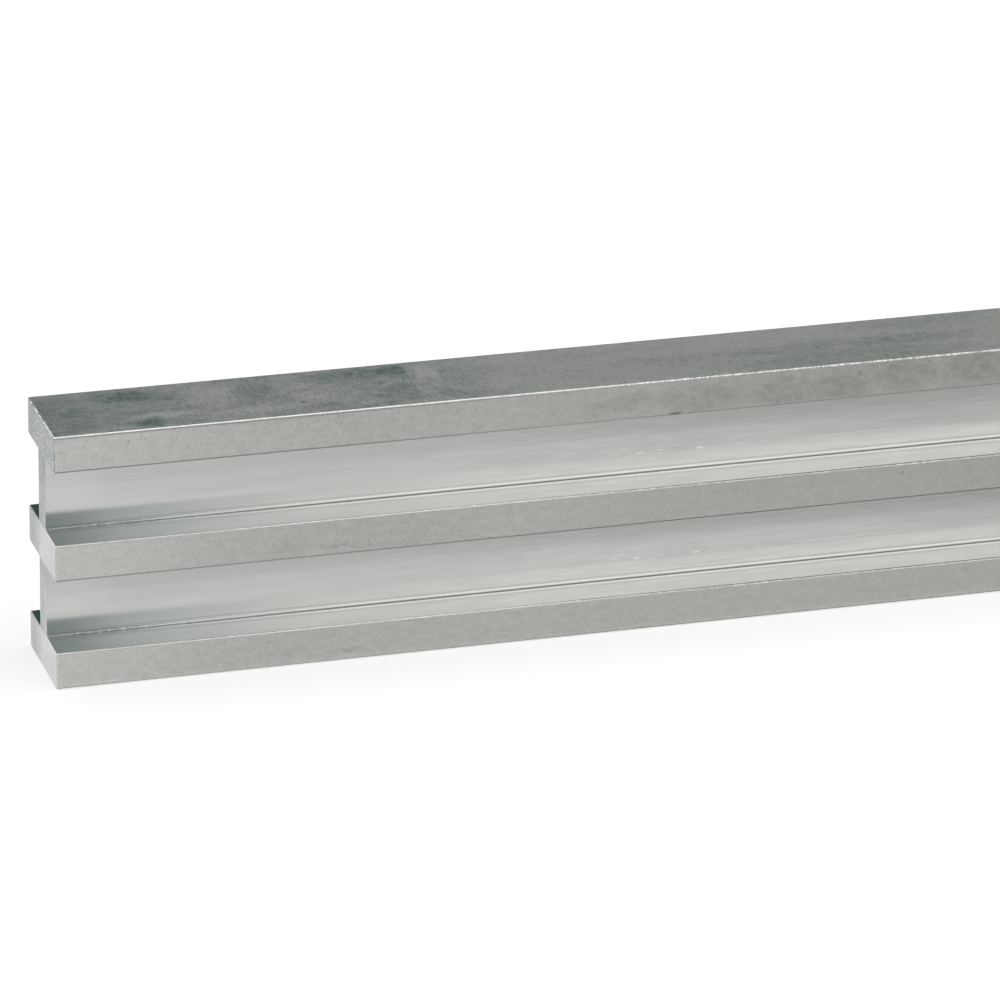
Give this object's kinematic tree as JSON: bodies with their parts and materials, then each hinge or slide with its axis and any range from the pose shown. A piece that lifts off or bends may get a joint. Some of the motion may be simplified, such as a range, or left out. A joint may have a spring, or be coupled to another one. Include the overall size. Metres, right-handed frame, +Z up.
{
  "type": "triple t-profile copper bar",
  "caption": "Straight length of drawn, tin-plated copper busbar: wide flat flanges on a central web, with open channels along both sides for clamps and adapters.",
  "frame": {"origin": "middle of the underside of the lowest flange, halfway along the bar", "axes": "+X along the bar, +Y across the flanges, +Z up through the web"},
  "size_m": [2.4, 0.03, 0.07],
  "materials": {
    "tinned_copper": "satin"
  },
  "bodies": {
    "root": {"triple_t_bar": "tinned_copper"}
  },
  "joints": []
}
